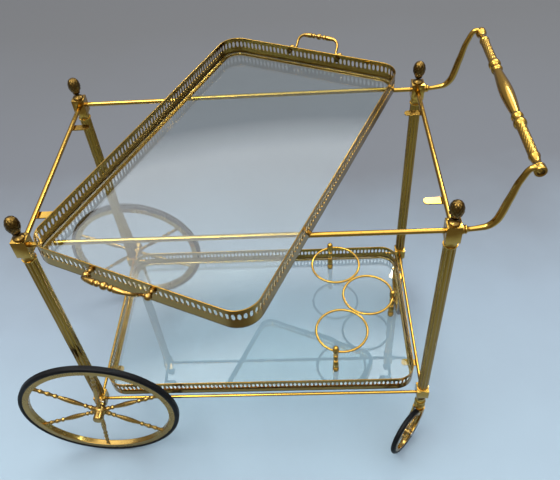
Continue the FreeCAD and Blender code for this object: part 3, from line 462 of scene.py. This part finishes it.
def tray_handle(end, sign, offset):
    """A cast bail handle: ball feet on washers, and a grip turned with beads."""
    middle = (at(*UPPER_CENTRE, spin(UPPER_ANGLE, "Z"))
              @ at(UPPER_LENGTH / 2 * sign, -offset * sign, HANDLE_HEIGHT,
                   spin(0 if sign > 0 else 180, "Z")))
    shape = Shape()
    foot_span, span, reach, corner, elbow, stand_off = 48.5, 40.0, 28.0, 14.0, 5.0, 12.0
    tilt_angle, ball_radius = 48, 5.6
    ball = [(ball_radius * math.sin(a), stand_off - ball_radius * math.cos(a))
            for a in (math.radians(v) for v in range(36, 181, 9))]
    for flank in (-1, 1):
        foot = middle @ at(0, foot_span * flank, 0, spin(90, "Y"))
        shape.lathe([(0.01, -0.1), (4.8, 0.0), (5.2, 0.6), (5.0, 2.2), (3.6, 3.0), (2.9, 4.0),
                     (2.9, 6.2)] + ball, foot, 28)
    half = [(reach - 0.00004 * y ** 3, float(y)) for y in range(0, 26, 1)]
    half += [(reach - corner + corner * math.cos(a) - 0.5, span - corner + corner * math.sin(a))
             for a in (math.radians(v) for v in range(6, 91, 7))]
    half += [(reach - corner - 5.0, span)]
    half += [(elbow - elbow * math.sin(a), span + elbow - elbow * math.cos(a))
             for a in (math.radians(v) for v in range(0, 91, 15))]
    half.append((0, foot_span))
    runs = [0.0]
    for first, last in zip(half, half[1:]):
        runs.append(runs[-1] + math.dist(first, last))
    finer, finer_runs = [], []
    for index in range(len(half) - 1):
        pieces = max(1, round((runs[index + 1] - runs[index]) / 0.5)) if runs[index] < 24 else 2
        for k in range(pieces):
            t = k / pieces
            finer.append([p + (q - p) * t for p, q in zip(half[index], half[index + 1])])
            finer_runs.append(runs[index] + (runs[index + 1] - runs[index]) * t)
    mirrored = [(x, -y) for x, y in reversed(finer[1:])]
    tilt = middle @ at(stand_off, 0, 0) @ spin(-tilt_angle, "Y")
    centres = [tilt @ Vector((x, y, 0)) for x, y in mirrored + finer]
    radii = [handle_thickness(run) for run in finer_runs[:0:-1] + finer_runs]
    shape.tube(centres, radii, 20)
    return shape.build(f"handle_on_tray_{end}", BRASS_CAST, "upper_tray",
                       [f"tray_handle_{end}"], sharp=50)


tray_handle("rear", 1, 5.5)
tray_handle("front", -1, 12)


# ---------------------------------------------------------------- finials


def finial(shape, place, start):
    """A cone-shaped nut: a turned foot and neck under an egg of spiral scales."""
    foot = [(0.01, 0), (8.6, 0), (9.0, 0.4), (9.0, 2.2), (8.4, 2.9), (7.4, 3.4), (6.4, 4.2),
            (4.4, 5.6), (3.7, 7.2), (3.6, 8.6), (4.4, 9.6), (5.6, 10.4), (6.6, 11.3)]
    shape.lathe(foot + [(0.01, 11.5)], place, 32)
    outline = smooth([(4.0, 10.4), (6.4, 13.2), (8.9, 17.0), (10.4, 21.0), (11.0, 25.0),
                      (10.7, 29.5), (9.7, 33.5), (7.9, 37.0), (5.2, 39.6), (2.4, 40.7),
                      (0.05, 41.0)], 5)
    around, rows = 96, len(outline) - 1
    spirals, climb, groove_depth = 8, 4.2, 1.15
    rings = []
    for index, (radius, z) in enumerate(outline):
        t = index / rows
        ring = []
        for k in range(around):
            a = TURN * k / around
            first = abs((a / TURN * spirals + t * climb + start) % 1.0 - 0.5) * 2
            second = abs((a / TURN * spirals - t * climb + start) % 1.0 - 0.5) * 2
            groove = max(first ** 5, second ** 5)
            reach = max(0.03, radius - groove_depth * groove * min(1, radius / 6))
            ring.append(place @ Vector((reach * math.cos(a), reach * math.sin(a), z)))
        rings.append(shape.add(ring))
    shape.skin(rings, caps=True)


TWIST = 0.31                               # so that no two cones stand alike
finials = Shape()
for number, (along, across) in enumerate(CORNERS.values()):
    finial(finials, at(HALF_LENGTH * along + SHIFT.x, HALF_WIDTH * across + SHIFT.y,
                        BLOCK_TOP), number * TWIST)
finials.build("finials_scaled", BRASS_DARK, "frame", ["finial_nuts"], 60)


# ---------------------------------------------------------------- push bar


def knurl(_, height, angle):
    """Crossed diagonal grooves, cut only on the two grips of the bar."""
    grip_start, grip_end = 85, 148.5
    starts, rise, depth = 10, 0.11, 0.55
    if not grip_start < abs(height - BAR_LENGTH / 2) < grip_end:
        return 0
    lead = height * rise
    turns = angle / TURN * starts
    first = abs((turns + lead) % 1 - 0.5) * 2
    second = abs((turns - lead) % 1 - 0.5) * 2
    return -depth * max(first ** 6, second ** 6)


def bar_outline():
    """Radius and distance along the push bar: beads, a grip, beads and a swelling middle."""
    half = [(8.0, 0.0), (8.3, 0.8), (8.0, 2.2), (6.6, 5.0), (5.6, 8.0), (5.7, 12), (6.5, 17),
            (7.2, 20.5), (7.9, 22.0), (8.0, 24.5), (7.0, 25.8)]
    half += [(7.05, 26 + k * 0.75) for k in range(87)]
    half += [(7.3, 91.4)] + bead(92, 102, 7.6, 9.5, 10)
    half += [(6.6, 103.0), (6.5, 105.5), (6.9, 108.0)] + bead(109.5, 116, 7.4, 8.8, 8)
    half += [(6.6, 117.0)] + smooth([(6.6, 119), (7.4, 128), (8.6, 141), (9.7, 155), (10.3, 167),
                                     (10.5, BAR_LENGTH / 2)], 4)
    return half + [(radius, BAR_LENGTH - along) for radius, along in reversed(half[:-1])]


EYE = sum(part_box("push_handle_screws"), Vector()) / 2 / MM
bar = Shape()
bar.lathe([(0.01, 0)] + bar_outline() + [(0.01, BAR_LENGTH)],
          at(EYE.x, SHIFT.y - BAR_LENGTH / 2, EYE.z, spin(-90, "X")), 120, knurl)
bar.build("push_bar_turned", BRASS, "frame", ["push_handle_bar"], sharp=50)


# ---------------------------------------------------------------- push handle arms


def push_arm(side, sign):
    """A cast arm: a collar at the block, a bar that swells at the bend, and an eye."""
    root = at(HALF_LENGTH + HALF_BLOCK + SHIFT.x, HALF_WIDTH * sign + SHIFT.y, ARM_HEIGHT)
    shape = Shape()
    shape.lathe([(0.01, 0), (6.6, 0), (7.2, 0.8), (7.2, 3.2), (6.2, 4.2)]
                + bead(4.4, 8.2, 5.2, 6.6, 6) + [(4.4, 9.4), (3.8, 12), (0.01, 12)],
                root @ spin(90, "Y"), 32)
    eye_x = EYE.x - HALF_LENGTH - HALF_BLOCK - SHIFT.x
    eye_z = EYE.z - ARM_HEIGHT
    route = smooth([(6, 0, 3.6), (12, 0, 3.7), (25, 2, 4.2), (37, 5.5, 4.9), (46, 15.5, 5.6),
                    (50.6, 29, 5.9), (55, 49.5, 5.6), (57.8, 61, 5.3), (61.8, 80, 4.8),
                    (66, 92, 4.5), (71, 103.5, 4.3), (77, 107.5, 4.3), (eye_x, eye_z, 4.6)], 6)
    shape.tube([root @ Vector((x, 0, z)) for x, z, _ in route], [radius for _, _, radius in route],
               24, side=Vector((0, 1, 0)))
    shape.lathe([(0.01, 0.6), (5.2, 0.6), (5.2, 4.4), (5.5, 4.5), (7.7, 4.5), (8.4, 3.8),
                 (8.6, 2.4), (8.6, -2.4), (8.4, -3.8), (7.7, -4.5), (0.01, -4.5)],
                at(EYE.x, HALF_WIDTH * sign + SHIFT.y, EYE.z, spin(90 * -sign, "X")), 40)
    return shape.build(f"push_arm_{side}_cast", BRASS, "frame", [f"push_handle_arm_{side}"],
                       sharp=45)


push_arm("left", -1)
push_arm("right", 1)


# ---------------------------------------------------------------- fluted legs


def fluted_leg(corner):
    """A tube with twelve hollow flutes that meet in sharp ridges."""
    low, high = (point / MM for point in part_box(f"leg_{corner}"))
    centre = (low + high) / 2
    steps, flutes, depth, radius, bore = 144, 12, 1.25, 10.0, 7.5
    angles = [TURN * k / steps for k in range(steps)]
    fluted = [radius - depth * abs(math.sin(a * flutes / 2)) ** 0.8 for a in angles]
    plain = [bore] * steps
    shape = Shape()
    rows = []
    for reaches, z in ((plain, low.z), (plain, high.z), (fluted, high.z), (fluted, low.z)):
        rows.append(shape.add([(centre.x + reach * math.cos(a), centre.y + reach * math.sin(a), z)
                               for a, reach in zip(angles, reaches)]))
    shape.skin(rows, close_rows=True)
    return shape.build(f"leg_{corner}_fluted", BRASS_LEG, "frame", [f"leg_{corner}"], sharp=22)


for corner in CORNERS:
    fluted_leg(corner)


# ---------------------------------------------------------------- bottle holder posts

POST_PLACES = ((149.5, 142.05), (270.8, 3.6), (149.2, -127.56))
posts = Shape()
for x, y in POST_PLACES:
    outline = [(0.01, 0), (6.2, 0), (6.4, 0.6), (6.4, 3.0), (5.6, 4.0)]
    outline += bead(4.4, 8.4, 5.0, 6.2, 6) + [(4.2, 9.4)]
    outline += smooth([(4.3, 10.5), (5.4, 14), (5.9, 18), (5.2, 23), (3.9, 27)], 3)
    outline += bead(27.6, 31.2, 3.6, 5.2, 6) + smooth([(3.6, 32), (4.8, 36), (5.0, 40), (3.9, 45)], 3)
    outline += bead(45.8, 49.4, 3.8, 5.4, 6) + [(4.2, 50.2)]
    outline += smooth([(4.4, 51.5), (5.2, 55), (5.8, 59), (6.1, 63), (6.3, 67)], 3)
    outline += [(6.3 * math.cos(a), 68.5 + 7.3 * math.sin(a))      # domed top
                for a in (math.radians(v) for v in range(0, 88, 8))]
    posts.lathe(outline + [(0.01, 75.9)], at(x + SHIFT.x, y + SHIFT.y, LOWER_GLASS_TOP), 32)
posts.build("bottle_posts_turned", BRASS, "lower_tray", ["bottle_posts"], sharp=50)


# ---------------------------------------------------------------- softened CAD pieces


def soften(name, amount, material, body):
    """The CAD node again, with its hard edges rounded."""
    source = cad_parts[name]
    mesh = source.data.copy()
    work = bmesh.new()
    work.from_mesh(mesh)
    bmesh.ops.remove_doubles(work, verts=work.verts, dist=0.000002)
    bmesh.ops.dissolve_limit(work, angle_limit=math.radians(0.5), verts=work.verts,
                             edges=work.edges)
    work.to_mesh(mesh)
    work.free()
    if "custom_normal" in mesh.attributes:
        mesh.attributes.remove(mesh.attributes["custom_normal"])
    piece = bpy.data.objects.new(name + "_soft", mesh)
    bpy.context.scene.collection.objects.link(piece)
    bevel = piece.modifiers.new("soften", "BEVEL")
    bevel.width = amount * MM
    bevel.segments = 2
    bevel.limit_method = "ANGLE"
    bevel.angle_limit = math.radians(50)
    bevel.harden_normals = False
    bpy.context.view_layer.update()
    done = bpy.data.meshes.new_from_object(
        piece.evaluated_get(bpy.context.evaluated_depsgraph_get()))
    piece.modifiers.clear()
    piece.data = done
    done.shade_smooth()
    done.set_sharp_from_angle(angle=math.radians(35))
    done.materials.clear()
    done.materials.append(material)
    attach(piece, body)
    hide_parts(name)
    return piece


for corner in CORNERS:
    soften(f"top_block_{corner}", 0.9, BRASS, "frame")
    soften(f"bottom_block_{corner}", 0.9, BRASS, "frame")


# ---------------------------------------------------------------- CAD nodes kept as they are

KEPT = {
    "push_handle_screws": BRASS_DARK, "axle_bolts": STEEL, "hub_cap": BRASS_WHEEL,
    "leg_tie_rods": STEEL, "tray_handle_screws": BRASS_DARK, "bottle_post_screws": BRASS_DARK,
    "upper_tray_glass": GLASS, "lower_tray_glass": GLASS,
}
for name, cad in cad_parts.items():
    material = BRASS
    for start, choice in KEPT.items():
        if name.startswith(start):
            material = choice
    if name.endswith("_tyre"):
        material = RUBBER
    elif name.startswith("wheel_") or name.endswith("_wheel"):
        material = BRASS_WHEEL
    elif name.endswith("_axle"):
        material = STEEL
    cad.data.materials.clear()
    cad.data.materials.append(material)
    cad.data.shade_smooth()
    cad.data.set_sharp_from_angle(angle=math.radians(35))


# ---------------------------------------------------------------- stage, light and camera


def area(name, place, target, width, height, power, colour=(1, 1, 1)):
    lamp = bpy.data.lights.new(name, "AREA")
    lamp.shape = "RECTANGLE"
    lamp.size, lamp.size_y = width, height
    lamp.energy = power
    lamp.color = colour
    holder = bpy.data.objects.new(name, lamp)
    bpy.context.scene.collection.objects.link(holder)
    holder.location = place
    holder.rotation_euler = (Vector(target) - Vector(place)).to_track_quat("-Z", "Y").to_euler()
    return holder


FLOOR_HALF = 30
floor_mesh = bpy.data.meshes.new("floor")
floor_mesh.from_pydata([(x * FLOOR_HALF, y * FLOOR_HALF, 0)
                        for x, y in ((-1, -1), (1, -1), (1, 1), (-1, 1))], [], [(0, 1, 2, 3)])
floor_mesh.materials.append(floor_material())
floor = bpy.data.objects.new("floor", floor_mesh)
bpy.context.scene.collection.objects.link(floor)

world = bpy.data.worlds.new("studio")
bpy.context.scene.world = world
world.use_nodes = True
sky = world.node_tree
sky.nodes.clear()
background = node(sky, "Background")
world_out = node(sky, "OutputWorld")
direction = node(sky, "TexCoord").outputs["Generated"]
parts = node(sky, "SeparateXYZ")
sky.links.new(direction, parts.inputs[0])
dome = ramp(sky, parts.outputs[2], [
    (0.0, (0.12, 0.11, 0.10)), (0.57, (0.16, 0.16, 0.165)), (0.61, (0.85, 0.86, 0.88)),
    (0.745, (0.85, 0.86, 0.88)), (0.775, (0.42, 0.43, 0.45)), (0.80, (0.42, 0.43, 0.45)),
    (0.83, (1.05, 1.07, 1.10)), (1.0, (1.1, 1.1, 1.1))])
sky.links.new(dome, background.inputs[0])
background.inputs[1].default_value = 3.1
sky.links.new(background.outputs[0], world_out.inputs[0])

area("key", (-0.9, -0.5, 3.0), (0, 0, 0.4), 2.6, 0.4, 70, (1, 0.98, 0.90))
area("rim", (1.4, 1.9, 2.6), (0, 0, 0.4), 1.6, 0.3, 36, (1, 0.99, 0.92))

CAMERA_PLACE = Vector((113.87, -803.93, 1223.18)) + SHIFT
CAMERA_ANGLES = (4.398, 45.789, -5.091)    # azimuth, elevation and roll, in degrees
camera_data = bpy.data.cameras.new("camera")
camera_data.lens, camera_data.sensor_width = 40.17, 36
camera = bpy.data.objects.new("camera", camera_data)
bpy.context.scene.collection.objects.link(camera)
azimuth, elevation, roll = (math.radians(v) for v in CAMERA_ANGLES)
back = Vector((math.sin(azimuth) * math.cos(elevation), -math.cos(azimuth) * math.cos(elevation),
               math.sin(elevation)))
right = (-back).cross(Vector((0, 0, 1))).normalized()
up = right.cross(-back)
tilted_right = right * math.cos(roll) + up * math.sin(roll)
tilted_up = up * math.cos(roll) - right * math.sin(roll)
turn = Matrix((tilted_right, tilted_up, back)).transposed().to_4x4()
camera.matrix_world = Matrix.Translation(CAMERA_PLACE * MM) @ turn
camera_data.clip_start, camera_data.clip_end = 0.02, 100
bpy.context.scene.camera = camera
bpy.context.scene.view_settings.view_transform = "Standard"
